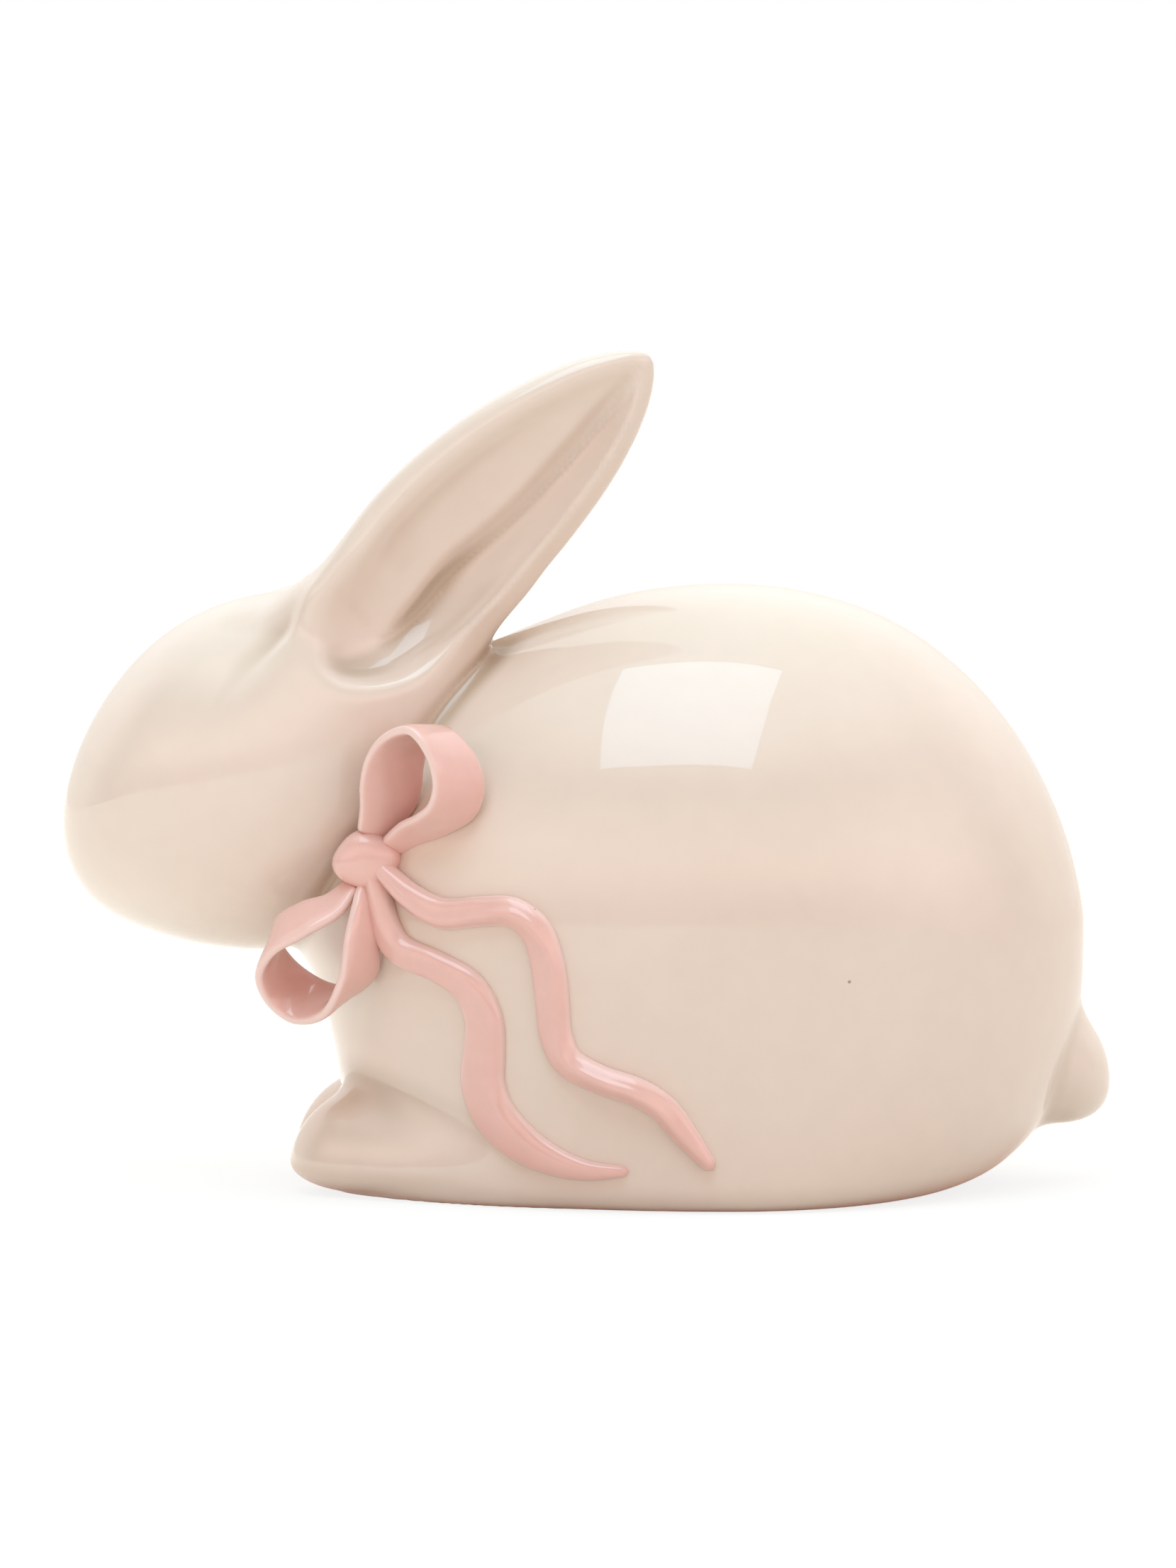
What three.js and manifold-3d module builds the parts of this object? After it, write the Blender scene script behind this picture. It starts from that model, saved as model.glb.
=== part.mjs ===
// Easter bunny ornament: a crouching rabbit of glazed cream ceramic with a pink clay bow at its neck.
// Lengths are in millimetres and +Z is up. The rabbit looks along -X, and its left flank, which carries
// the bow, faces -Y. The origin is on the table, under the middle of the whole ornament.

import * as THREE from "three";
import { mergeVertices } from "three/addons/utils/BufferGeometryUtils.js";
import Module from "manifold-3d";

const wasm = await Module();
wasm.setup();

// Clay and joints
const castWall = 4; // thickness that the slip leaves in the mould
const jointGap = 0.3; // seam left between two luted pieces
const ribbonThickness = 1.9;
const ribbonLift = 0.35; // seam under a ribbon end, in which its slip sits

// Torso: half egg above its waist, nearly upright flanks below, flat foot
const torsoMiddleX = 24;
const torsoWaistZ = 46;
const torsoTopZ = 103.3;
const torsoHalfWidth = 47;
const rumpTuck = 51.5; // the rump curves under as if it closed this far below the waist
const flankTuck = 190; // the same for the flanks
const torsoChestReach = 75; // longest, from its middle to the chest; above the waist the dome shortens it
const torsoRumpReach = 61.4; // the same to the rump
const chestReach = outline(torsoTopZ, torsoChestReach, [
  [0, 0.88],
  [0.1646, 0.8867],
  [0.2711, 0.9147],
  [0.3485, 0.9507],
  [0.4259, 1],
  [0.5808, 0.9867],
  [0.8906, 0.9627],
  [0.9487, 0.92],
  [1, 0.96],
]); // by height, both as shares of those lengths
const rumpReach = outline(torsoTopZ, torsoRumpReach, [
  [0.4453, 1],
  [0.5421, 0.9837],
  [0.697, 0.9707],
  [0.8712, 0.9805],
  [1, 1.0342],
]);
const footEdge = 3; // rounding along the edge of the foot
const footLand = 7; // width of the rim that it stands on
const footHollow = 0.8; // depth of the wiped hollow inside that rim
const ventRadius = 5;
const neckBore = 11; // radius of the opening between torso and head
const neckSlant = 6; // how far that opening falls on its way into the torso

// Head: an egg that widens towards the neck
const headForward = 76; // from the middle of the torso to the middle of the head
const headHalfWidth = 28;
const headHalfHeight = 30.8;
const muzzleReach = 38.2;
const napeReach = 34;
const headMiddleHeight = 71.6;
const headMiddleZ = outline(muzzleReach, headMiddleHeight, [
  [-1, 0.8659],
  [-0.8115, 0.912],
  [-0.6021, 0.9511],
  [-0.3403, 0.9777],
  [0, 1],
  [0.445, 1.0615],
  [0.8901, 1.1453],
]); // height of its middle line, by distance behind the middle of the head

// Ears: leaves dished on their outer face, measured along the axis from the root point
const earRootBehind = 19; // root point, from the middle of the head
const earRootAbove = 27;
const earLean = 46; // degrees above level, leaning back
const earTip = 61.8;
const earHeel = 20; // how far the leaf runs below the root point, over the cheek
const earWidest = 14;
const earHalfWidth = 14.9;
const earHalfThickness = 6;
const earInset = 11; // how far its middle sheet lies inside the side of the head
const earRoll = 15; // degrees that its front edge is turned outwards
const earBend = 1.4; // how far its middle line runs from the straight axis, towards the back edge
const earSide = outline(earTip, headHalfWidth - earInset, [
  [-0.3236, 1.3235],
  [-0.1294, 1.1647],
  [0.0809, 1.0353],
  [0.4045, 1],
  [0.7282, 1.0588],
  [1, 1.1471],
]); // from the middle plane to its middle sheet, by place along the axis
const earBow = outline(earTip, earBend, [
  [-0.3236, 0.7143],
  [0, 0],
  [0.2265, -0.8571],
  [0.4854, -0.7143],
  [0.712, -0.1429],
  [1, 0.6429],
]);
const earTipBluntness = 0.145; // power by which the leaf's outline closes towards its tip
const earHeelBluntness = 0.2; // the same towards its heel
const earDishDepth = 8.6;
const earDishHeel = 12; // how far the dish runs below the root point
const earRim = 3.1; // width of the rim beside the dish at its widest
const earTipRim = 2;
const earFoldHeight = 1.8; // how much higher the front half of the dish stands, up to a fold along it
const earFoldWidth = 4;
const earFoldStart = 6; // the fold is full from here along the axis
const earFoldEnd = 44; // up to here

// Tail
const tailHeight = 20.8;
const tailSink = 2.7; // how far its middle lies inside the rump
const tailLong = 9.9;
const tailHalfWidth = 11;
const tailTall = 10.6;
const tailDroop = 3; // how far its tip hangs below its middle

// Forepaws
const pawBehindChest = 4.5; // from the front of the chest to the middle of the paw
const pawSide = 14;
const pawToe = 13.4;
const pawHeel = 36;
const pawHalfWidth = 12.2;
const pawRise = 12.6;
const pawMiddleZ = 5.2;
const pawSplay = 30; // degrees that the heel turns outwards

// Bow
const knotX = -37;
const knotZ = 57.8;
const knotHalf = new THREE.Vector3(5.6, 4.4, 5.1);
const knotLift = 3.2; // from the crease at the neck to the middle of the knot
const upperLoopHeight = 22.3; // above the middle of the knot
const lowerLoopDrop = 24; // below it
const loopWidth = 10.5;
const frontTailDrop = 50.6; // how far the front ribbon end reaches below the knot
const frontTailWidth = 8.2;
const rearTailReach = 58; // how far the rear ribbon end reaches behind the knot
const rearTailWidth = 5.8;

const clay = {
  cream: new THREE.MeshStandardMaterial({ color: 0xe9dac9, roughness: 0.16, metalness: 0 }),
  pink: new THREE.MeshStandardMaterial({ color: 0xe3b0a4, roughness: 0.22, metalness: 0 }),
};

// Smooth function through a few [place, value] points, level beyond both ends.
function through(points) {
  const slope = (i) => {
    const before = points[Math.max(0, i - 1)];
    const after = points[Math.min(points.length - 1, i + 1)];
    return (after[1] - before[1]) / (after[0] - before[0]);
  };
  return (place) => {
    if (place <= points[0][0]) return points[0][1];
    if (place >= points.at(-1)[0]) return points.at(-1)[1];
    const i = points.findIndex((point) => point[0] > place) - 1;
    const span = points[i + 1][0] - points[i][0];
    const t = (place - points[i][0]) / span;
    const bend = t * t * (3 - 2 * t);
    const start = t * (1 - t) * (1 - t) * span * slope(i);
    const end = t * t * (1 - t) * span * slope(i + 1);
    return points[i][1] * (1 - bend) + points[i + 1][1] * bend + start - end;
  };
}

// The same with places and values given as shares of two lengths.
function outline(placeUnit, valueUnit, points) {
  return through(points.map(([place, value]) => [place * placeUnit, value * valueUnit]));
}

// Closed surface through rings of equally many points, with a fan to a middle point at either end.
function loft(rings, first, last) {
  const around = rings[0].length;
  const points = [first, ...rings.flat(), last];
  const at = (ring, i) => 1 + ring * around + (i % around);
  const faces = [];
  for (let i = 0; i < around; i++) {
    faces.push(0, at(0, i + 1), at(0, i));
    faces.push(points.length - 1, at(rings.length - 1, i), at(rings.length - 1, i + 1));
    for (let ring = 0; ring + 1 < rings.length; ring++) {
      faces.push(at(ring, i), at(ring, i + 1), at(ring + 1, i));
      faces.push(at(ring, i + 1), at(ring + 1, i + 1), at(ring + 1, i));
    }
  }
  const geometry = new THREE.BufferGeometry().setFromPoints(points);
  geometry.setIndex(volumeOf(points, faces) < 0 ? faces.reverse() : faces);
  return geometry;
}

// Volume inside a closed surface, negative where its faces point inwards.
function volumeOf(points, faces) {
  let volume = 0;
  for (let i = 0; i < faces.length; i += 3) {
    const [a, b, c] = [points[faces[i]], points[faces[i + 1]], points[faces[i + 2]]];
    volume += a.dot(b.clone().cross(c)) / 6;
  }
  return volume;
}

// Unit sphere with its poles at either end of the first axis, every point moved by place(u, a, b).
function formed(around, along, place) {
  const rings = [];
  for (let j = 1; j < along; j++) {
    const tilt = Math.PI * (j / along - 0.5);
    rings.push(ringOf(around, (a, b) => place(Math.sin(tilt), Math.cos(tilt) * a, Math.cos(tilt) * b)));
  }
  return loft(rings, place(-1, 0, 0), place(1, 0, 0));
}

function ringOf(count, place) {
  return Array.from({ length: count }, (_, i) => {
    const angle = (2 * Math.PI * i) / count;
    return place(Math.cos(angle), Math.sin(angle));
  });
}

// The same closed surface with every point moved outwards along its normal, or inwards if negative.
function grown(geometry, distance) {
  const result = geometry.clone();
  result.computeVertexNormals();
  const position = result.getAttribute("position");
  const normal = result.getAttribute("normal");
  const point = new THREE.Vector3();
  const out = new THREE.Vector3();
  for (let i = 0; i < position.count; i++) {
    out.fromBufferAttribute(normal, i).multiplyScalar(distance);
    point.fromBufferAttribute(position, i).add(out);
    position.setXYZ(i, point.x, point.y, point.z);
  }
  return result;
}

function solidOf(geometry) {
  const bare = geometry.clone();
  bare.deleteAttribute("normal");
  bare.deleteAttribute("uv");
  const merged = mergeVertices(bare, 1e-4);
  return new wasm.Manifold(
    new wasm.Mesh({
      numProp: 3,
      vertProperties: new Float32Array(merged.getAttribute("position").array),
      triVerts: new Uint32Array(merged.index.array),
    }),
  );
}

// The geometry without what lies inside the others, as one piece: crumbs beside the largest piece go.
function cut(geometry, ...others) {
  const rest = others.reduce((solid, other) => solid.subtract(solidOf(other)), solidOf(geometry));
  const pieces = rest.decompose().sort((a, b) => b.volume() - a.volume());
  const mesh = pieces[0].getMesh();
  const result = new THREE.BufferGeometry();
  result.setAttribute("position", new THREE.BufferAttribute(mesh.vertProperties.slice(), 3));
  return result.setIndex(new THREE.BufferAttribute(mesh.triVerts.slice(), 1));
}

// Reaches of the torso's level section from its middle: to the chest, to the rump and to the flank.
function torsoSection(z) {
  const rise = Math.min(1, Math.max(0, z - torsoWaistZ) / (torsoTopZ - torsoWaistZ));
  const drop = Math.max(0, torsoWaistZ - z);
  const dome = Math.sqrt(1 - rise ** 2);
  return {
    chest: chestReach(z) * dome,
    rump: rumpReach(z) * dome * (1 - Math.min(1, drop / rumpTuck) ** 3) ** (1 / 3),
    flank: torsoHalfWidth * dome * Math.sqrt(1 - (drop / flankTuck) ** 2),
  };
}

// Half width of the torso at a place in the middle plane, zero outside it.
function torsoHalf(x, z) {
  const section = torsoSection(z);
  const along = (x - torsoMiddleX) / (x < torsoMiddleX ? section.chest : section.rump);
  return section.flank * Math.sqrt(Math.max(0, 1 - along ** 2));
}

const headMiddleX = torsoMiddleX - headForward;

// Half width of the head at a place in the middle plane, zero outside it.
function headHalf(x, z) {
  const along = (x - headMiddleX) / (x < headMiddleX ? muzzleReach : napeReach);
  const up = (z - headMiddleZ(x - headMiddleX)) / headHalfHeight;
  return headHalfWidth * Math.sqrt(Math.max(0, 1 - along ** 2 - up ** 2));
}

const flankHalf = (x, z) => Math.max(torsoHalf(x, z), headHalf(x, z));

function torsoForm(around, levels) {
  const ringAt = (z, inset) => {
    const section = torsoSection(z);
    return ringOf(around, (a, b) => {
      const reach = (a < 0 ? section.chest : section.rump) - inset;
      return new THREE.Vector3(torsoMiddleX + reach * a, (section.flank - inset) * b, z);
    });
  };
  const eased = (angle) => ringAt(footEdge * (1 - Math.cos(angle)), footEdge * (1 - Math.sin(angle)));
  const rings = [eased(0), eased(Math.PI / 6), eased(Math.PI / 3), eased(Math.PI / 2)];
  const lower = Math.round(levels * 0.35);
  for (let i = 1; i <= lower; i++) {
    const share = i / lower;
    rings.push(ringAt(footEdge + (torsoWaistZ - footEdge) * share ** 1.3, 0));
  }
  for (let i = 1; i < levels - lower; i++) {
    const angle = (Math.PI / 2) * (i / (levels - lower));
    rings.push(ringAt(torsoWaistZ + (torsoTopZ - torsoWaistZ) * Math.sin(angle), 0));
  }
  const foot = new THREE.Vector3(torsoMiddleX, 0, 0);
  return loft(rings, foot, new THREE.Vector3(torsoMiddleX, 0, torsoTopZ));
}

// Shallow hollow under the foot, inside the rim that it stands on.
function footHollowForm(around) {
  const section = torsoSection(0);
  const outline = (z) =>
    ringOf(around, (a, b) => {
      const reach = (a < 0 ? section.chest : section.rump) - footEdge - footLand;
      return new THREE.Vector3(torsoMiddleX + reach * a, (section.flank - footEdge - footLand) * b, z);
    });
  const low = new THREE.Vector3(torsoMiddleX, 0, -footHollow);
  return loft([outline(-footHollow), outline(footHollow)], low, low.clone().setZ(footHollow));
}

function headForm(around, along) {
  return formed(around, along, (u, a, b) => {
    const behind = u * (u < 0 ? muzzleReach : napeReach);
    const z = headMiddleZ(behind) + headHalfHeight * b;
    return new THREE.Vector3(headMiddleX + behind, -headHalfWidth * a, z);
  });
}

// A round bar between two points, for bores.
function barForm(from, to, radius, around = 20) {
  const axis = to.clone().sub(from).normalize();
  const side = new THREE.Vector3(0, 1, 0);
  const other = axis.clone().cross(side);
  const ring = (middle) =>
    ringOf(around, (a, b) =>
      middle.clone().addScaledVector(side, radius * a).addScaledVector(other, -radius * b),
    );
  return loft([ring(from), ring(to)], from, to);
}

const earRoot = new THREE.Vector3(headMiddleX + earRootBehind, 0, headMiddleZ(0) + earRootAbove);

// Place on the left ear: along its axis, across it towards its back edge, and out from its middle sheet.
function onEar(along, across, out) {
  const lean = THREE.MathUtils.degToRad(earLean);
  const back = across + earBow(along);
  const side = earSide(along) - across * Math.tan(THREE.MathUtils.degToRad(earRoll));
  return new THREE.Vector3(
    earRoot.x + along * Math.cos(lean) + back * Math.sin(lean),
    -side - out,
    earRoot.z + along * Math.sin(lean) - back * Math.cos(lean),
  );
}

// A leaf along the ear, from a heel below the root point to a tip, its middle lying out by so much.
function leafForm(around, along, { heel, tip, halfWidth, depth, out, fold = () => 0 }) {
  return formed(around, along, (u, a, b) => {
    const blunt = (1 - u * u) ** (u > 0 ? earTipBluntness : earHeelBluntness);
    const place = earWidest + u * (u > 0 ? tip - earWidest : heel + earWidest);
    const across = halfWidth * blunt * a;
    return onEar(place, across, out + depth * b + fold(place, across));
  });
}

// How much higher the front half of the dish lies; it falls off across the fold and towards both ends.
function earFold(along, across) {
  const smooth = THREE.MathUtils.smoothstep;
  const reach = smooth(along, -earFoldStart, earFoldStart) * (1 - smooth(along, earFoldEnd, earTip));
  return earFoldHeight * reach * (1 - smooth(across, 0, earFoldWidth));
}

function earForm(around, along) {
  return leafForm(around, along, {
    heel: earHeel,
    tip: earTip,
    halfWidth: earHalfWidth,
    depth: earHalfThickness,
    out: 0,
  });
}

// The dish hollowed into the outer face of the ear.
function earDishForm(around, along) {
  return leafForm(around, along, {
    heel: earDishHeel,
    tip: earTip - earTipRim,
    halfWidth: earHalfWidth - earRim,
    depth: earDishDepth,
    out: earHalfThickness,
    fold: earFold,
  });
}

function tailForm(around, along) {
  const middle = torsoMiddleX + torsoSection(tailHeight).rump - tailSink;
  return formed(around, along, (u, a, b) => {
    const z = tailHeight + tailTall * b - tailDroop * Math.max(0, u) ** 2;
    return new THREE.Vector3(middle + tailLong * u, -tailHalfWidth * a, z);
  });
}

function pawForm(around, along) {
  const turn = THREE.MathUtils.degToRad(pawSplay);
  const middleX = torsoMiddleX - torsoSection(pawMiddleZ).chest + pawBehindChest;
  return formed(around, along, (u, a, b) => {
    const long = u * (u < 0 ? pawToe : pawHeel);
    const wide = pawHalfWidth * a;
    const x = middleX + long * Math.cos(turn) + wide * Math.sin(turn);
    const side = pawSide + long * Math.sin(turn) - wide * Math.cos(turn);
    const toe = u < 0 ? (1 - u * u) ** 0.15 : 1;
    return new THREE.Vector3(x, -side, pawMiddleZ + (b > 0 ? pawRise * toe : pawMiddleZ) * b);
  });
}

// Flat strip with eased edges along stations {at, across, width}; across points over its width.
function strip(stations, steps) {
  const path = new THREE.CatmullRomCurve3(stations.map((station) => station.at));
  const lay = new THREE.CatmullRomCurve3(stations.map((station) => station.across));
  const size = new THREE.CatmullRomCurve3(
    stations.map((station) => new THREE.Vector3(station.width, 0, 0)),
  );
  const half = ribbonThickness / 2;
  const ease = half * 0.6;
  const ring = (t) => {
    const middle = path.getPoint(t);
    const along = path.getTangent(t);
    const across = lay.getPoint(t);
    across.addScaledVector(along, -across.dot(along)).normalize();
    const face = along.clone().cross(across);
    const wide = size.getPoint(t).x / 2;
    const corners = [
      [wide, half - ease],
      [wide - ease, half],
    ];
    const quarter = (signA, signB, list) => list.map(([a, b]) => [signA * a, signB * b]);
    const outline = [
      ...quarter(1, 1, corners),
      ...quarter(-1, 1, [...corners].reverse()),
      ...quarter(-1, -1, corners),
      ...quarter(1, -1, [...corners].reverse()),
    ];
    return outline.map(([a, b]) =>
      middle.clone().addScaledVector(across, a).addScaledVector(face, b),
    );
  };
  const rings = Array.from({ length: steps + 1 }, (_, i) => ring(i / steps));
  return loft(rings, path.getPoint(0), path.getPoint(1));
}

const knotMiddle = new THREE.Vector3(knotX, -flankHalf(knotX, knotZ) - knotLift, knotZ);

function knotForm(around, along) {
  const square = (value) => Math.sign(value) * Math.abs(value) ** 0.72;
  return formed(around, along, (u, a, b) =>
    new THREE.Vector3(square(u), -square(a), square(b)).multiply(knotHalf).add(knotMiddle),
  );
}

// A loop from hand-placed stations: [behind, out, above] from the knot as shares of the loop's reach, the
// way across, and the width as a share of the widest.
function loopForm(stations, reach, widest, steps) {
  return strip(
    stations.map(([behind, out, above, acrossX, acrossY, acrossZ, width]) => ({
      at: new THREE.Vector3(behind, -out, above).multiplyScalar(reach).add(knotMiddle),
      across: new THREE.Vector3(acrossX, acrossY, acrossZ),
      width: width * widest,
    })),
    steps,
  );
}

const upperLoopStations = [
  [0.0269, 0.0448, 0.2063, 0.85, 0.5, 0, 0.4762],
  [0.1525, 0.1076, 0.4709, 0.85, 0.53, 0, 0.9048],
  [0.2063, 0.1794, 0.7354, 0.85, 0.53, 0, 1],
  [0.3049, 0.2691, 0.9417, 0.75, 0.66, 0, 1],
  [0.4664, 0.3767, 1, 0.66, 0.75, -0.05, 1],
  [0.6278, 0.4753, 0.8341, 0.72, 0.68, -0.08, 1],
  [0.6996, 0.5112, 0.6099, 0.77, 0.63, -0.1, 1],
  [0.6547, 0.4664, 0.4215, 0.75, 0.62, -0.2, 0.9524],
  [0.5022, 0.3318, 0.296, 0.65, 0.62, -0.35, 0.7619],
  [0.3318, 0.1794, 0.2152, 0.55, 0.6, -0.5, 0.5714],
  [0.1973, 0.0717, 0.1166, 0.5, 0.6, -0.6, 0.4286],
];

const lowerLoopStations = [
  [-0.1083, 0.025, -0.1833, -0.3, 0.85, 0.45, 0.381],
  [-0.25, 0.0833, -0.3167, -0.25, 0.85, 0.5, 0.619],
  [-0.4333, 0.1, -0.4, -0.1, 0.85, 0.55, 0.8095],
  [-0.625, 0.0667, -0.525, 0.15, 0.8, 0.6, 0.9048],
  [-0.6833, -0.025, -0.7083, 0.35, 0.75, 0.57, 0.9524],
  [-0.6, -0.1, -0.875, 0.45, 0.68, 0.57, 1],
  [-0.4167, -0.075, -1, 0.56, 0.6, 0.56, 1],
  [-0.2083, 0.05, -0.9833, 0.62, 0.62, 0.45, 0.9524],
  [-0.0583, 0.15, -0.7917, 0.71, 0.64, 0.3, 0.8571],
  [-0.0333, 0.1917, -0.5417, 0.72, 0.66, 0.2, 0.6667],
  [-0.0083, 0.1333, -0.3167, 0.7, 0.7, 0.1, 0.4762],
  [0.0083, 0.0583, -0.1917, 0.7, 0.7, 0.1, 0.381],
];

// A ribbon end laid on the flank from hand-placed stations: [behind, above, width, lift] as shares of the
// ribbon end's reach from the knot, and the width as one of the widest.
function layForm(stations, reach, widest, steps) {
  const onFlank = (x, z) => new THREE.Vector3(x, -flankHalf(x, z), z);
  const probe = jointGap;
  const route = stations.map(([behind, above, width, lift = 0]) => {
    const x = knotMiddle.x + behind * reach;
    const z = knotMiddle.z + above * reach;
    const slopeX = (flankHalf(x + probe, z) - flankHalf(x - probe, z)) / (2 * probe);
    const slopeZ = (flankHalf(x, z + probe) - flankHalf(x, z - probe)) / (2 * probe);
    const out = new THREE.Vector3(-slopeX, -1, -slopeZ).normalize();
    const height = ribbonLift + ribbonThickness / 2 + lift * reach;
    return { at: onFlank(x, z).addScaledVector(out, height), out, width: width * widest };
  });
  route.forEach((station, i) => {
    const before = route[Math.max(0, i - 1)].at;
    const after = route[Math.min(route.length - 1, i + 1)].at;
    station.across = after.clone().sub(before).normalize().cross(station.out);
  });
  return strip(route, steps);
}

const frontTailStations = [
  [0.0593, -0.083, 0.5366, 0.0277],
  [0.0711, -0.2055, 0.6341, 0.0158],
  [0.1186, -0.2885, 0.6341, 0.0059],
  [0.2372, -0.3399, 0.6585],
  [0.3439, -0.4071, 0.7561],
  [0.3913, -0.5059, 0.8537],
  [0.3953, -0.6126, 0.9268],
  [0.3893, -0.7213, 1],
  [0.4229, -0.8221, 0.9756],
  [0.5059, -0.9091, 0.8537],
  [0.6126, -0.9684, 0.6341],
  [0.7312, -1, 0.4146],
  [0.8696, -1, 0.1951],
];

const rearTailStations = [
  [0.0793, -0.0379, 0.5172, 0.0241],
  [0.1414, -0.1017, 0.7586, 0.0103],
  [0.2241, -0.1431, 0.8966],
  [0.3414, -0.1328, 0.8621],
  [0.4241, -0.1328, 0.8621],
  [0.4931, -0.1828, 0.931],
  [0.5259, -0.2759, 1],
  [0.5397, -0.3793, 1],
  [0.55, -0.4828, 0.9655],
  [0.5862, -0.5586, 0.8966],
  [0.6724, -0.6052, 0.8276, 0.0069],
  [0.7862, -0.6431, 0.8276, 0.0103],
  [0.8586, -0.6897, 0.8276, 0.0052],
  [0.9172, -0.7621, 0.7586],
  [1, -0.8655, 0.3793],
];

const upperLoopForm = () => loopForm(upperLoopStations, upperLoopHeight, loopWidth, 34);
const lowerLoopForm = () => loopForm(lowerLoopStations, lowerLoopDrop, loopWidth, 36);
const frontTailForm = () => layForm(frontTailStations, frontTailDrop, frontTailWidth, 36);
const rearTailForm = () => layForm(rearTailStations, rearTailReach, rearTailWidth, 40);

function piece(name, geometry, material) {
  const mesh = new THREE.Mesh(geometry, material);
  mesh.name = name;
  geometry.computeVertexNormals();
  return mesh;
}

// The far twin of a piece, mirrored through the middle plane.
function twin(name, original) {
  const mesh = piece(name, original.geometry, original.material);
  mesh.scale.y = -1;
  return mesh;
}

function buildTorso() {
  const inside = grown(torsoForm(30, 17), -castWall);
  const vent = barForm(
    new THREE.Vector3(torsoMiddleX, 0, -footHollow),
    new THREE.Vector3(torsoMiddleX, 0, castWall + torsoWaistZ / 2),
    ventRadius,
  );
  const neckFrom = new THREE.Vector3(torsoMiddleX - chestReach(torsoWaistZ) * 0.5, 0, headMiddleZ(0) - neckSlant);
  const neckBar = barForm(new THREE.Vector3(headMiddleX, 0, neckFrom.z + neckSlant), neckFrom, neckBore);
  return cut(torsoForm(48, 30), inside, vent, neckBar, footHollowForm(36));
}

const torsoGrown = grown(torsoForm(48, 30), jointGap);
const headGrown = grown(headForm(36, 22), jointGap);
const knotGrown = grown(knotForm(16, 10), jointGap);

const headGeometry = cut(headForm(36, 22), grown(headForm(24, 16), -castWall), torsoGrown);
const earGeometry = cut(earForm(24, 22), earDishForm(28, 20), headGrown, torsoGrown);
const tailGeometry = cut(tailForm(20, 14), torsoGrown);
const pawGeometry = cut(pawForm(20, 16), torsoGrown, middlePlane());
const knotGeometry = cut(knotForm(16, 10), headGrown, torsoGrown);
const upperLoop = cut(upperLoopForm(), knotGrown, headGrown, torsoGrown);
const lowerLoop = cut(lowerLoopForm(), knotGrown, headGrown, torsoGrown, grown(upperLoopForm(), jointGap));
const loopsGrown = [grown(upperLoopForm(), jointGap), grown(lowerLoopForm(), jointGap)];
const frontTail = cut(frontTailForm(), knotGrown, headGrown, torsoGrown, ...loopsGrown);
const frontGrown = grown(frontTailForm(), jointGap);
const rearTail = cut(rearTailForm(), knotGrown, headGrown, torsoGrown, ...loopsGrown, frontGrown);

// Everything on the far side of the middle plane, with the seam between twins.
function middlePlane() {
  const size = 4 * torsoHalfWidth;
  const block = new THREE.BoxGeometry(2 * size, size, size);
  return block.translate(0, size / 2 - jointGap / 2, 0);
}

const leftEar = piece("left_ear", earGeometry, clay.cream);
const leftPaw = piece("left_forepaw", pawGeometry, clay.cream);

const bunny = new THREE.Group();
bunny.add(
  piece("torso_casting", buildTorso(), clay.cream),
  piece("head_casting", headGeometry, clay.cream),
  leftEar,
  twin("right_ear", leftEar),
  leftPaw,
  twin("right_forepaw", leftPaw),
  piece("tail", tailGeometry, clay.cream),
);

const bow = new THREE.Group();
bow.add(
  piece("bow_knot", knotGeometry, clay.pink),
  piece("bow_upper_loop", upperLoop, clay.pink),
  piece("bow_lower_loop", lowerLoop, clay.pink),
  piece("front_ribbon_tail", frontTail, clay.pink),
  piece("rear_ribbon_tail", rearTail, clay.pink),
);

const ornament = new THREE.Group();
ornament.add(bunny, bow);

export default ornament;
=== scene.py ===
import math
from collections import Counter

import bmesh
import bpy
import numpy as np
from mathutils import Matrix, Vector


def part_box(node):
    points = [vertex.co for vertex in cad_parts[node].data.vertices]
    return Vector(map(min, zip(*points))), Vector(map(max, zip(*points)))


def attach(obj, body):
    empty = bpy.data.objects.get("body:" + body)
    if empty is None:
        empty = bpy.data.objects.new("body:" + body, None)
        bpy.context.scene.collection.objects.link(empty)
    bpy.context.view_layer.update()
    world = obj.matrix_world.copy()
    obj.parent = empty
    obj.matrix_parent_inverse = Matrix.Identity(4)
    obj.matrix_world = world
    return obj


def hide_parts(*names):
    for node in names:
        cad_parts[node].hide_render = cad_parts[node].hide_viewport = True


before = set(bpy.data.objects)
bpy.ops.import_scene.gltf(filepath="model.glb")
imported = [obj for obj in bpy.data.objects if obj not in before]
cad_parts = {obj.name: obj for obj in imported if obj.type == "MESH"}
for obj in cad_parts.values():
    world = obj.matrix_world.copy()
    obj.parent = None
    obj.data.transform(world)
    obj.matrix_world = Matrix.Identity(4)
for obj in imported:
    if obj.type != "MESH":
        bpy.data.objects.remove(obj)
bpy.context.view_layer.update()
mm = 0.001
tiny = 1e-6     # keeps divisions away from zero


# An sRGB hex colour as linear red, green, blue and alpha.
def linear(hexColor):
    parts = [int(hexColor[i:i + 2], 16) / 255 for i in (0, 2, 4)]
    return (*[v / 12.92 if v <= 0.04045 else ((v + 0.055) / 1.055) ** 2.4 for v in parts], 1.0)


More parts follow.
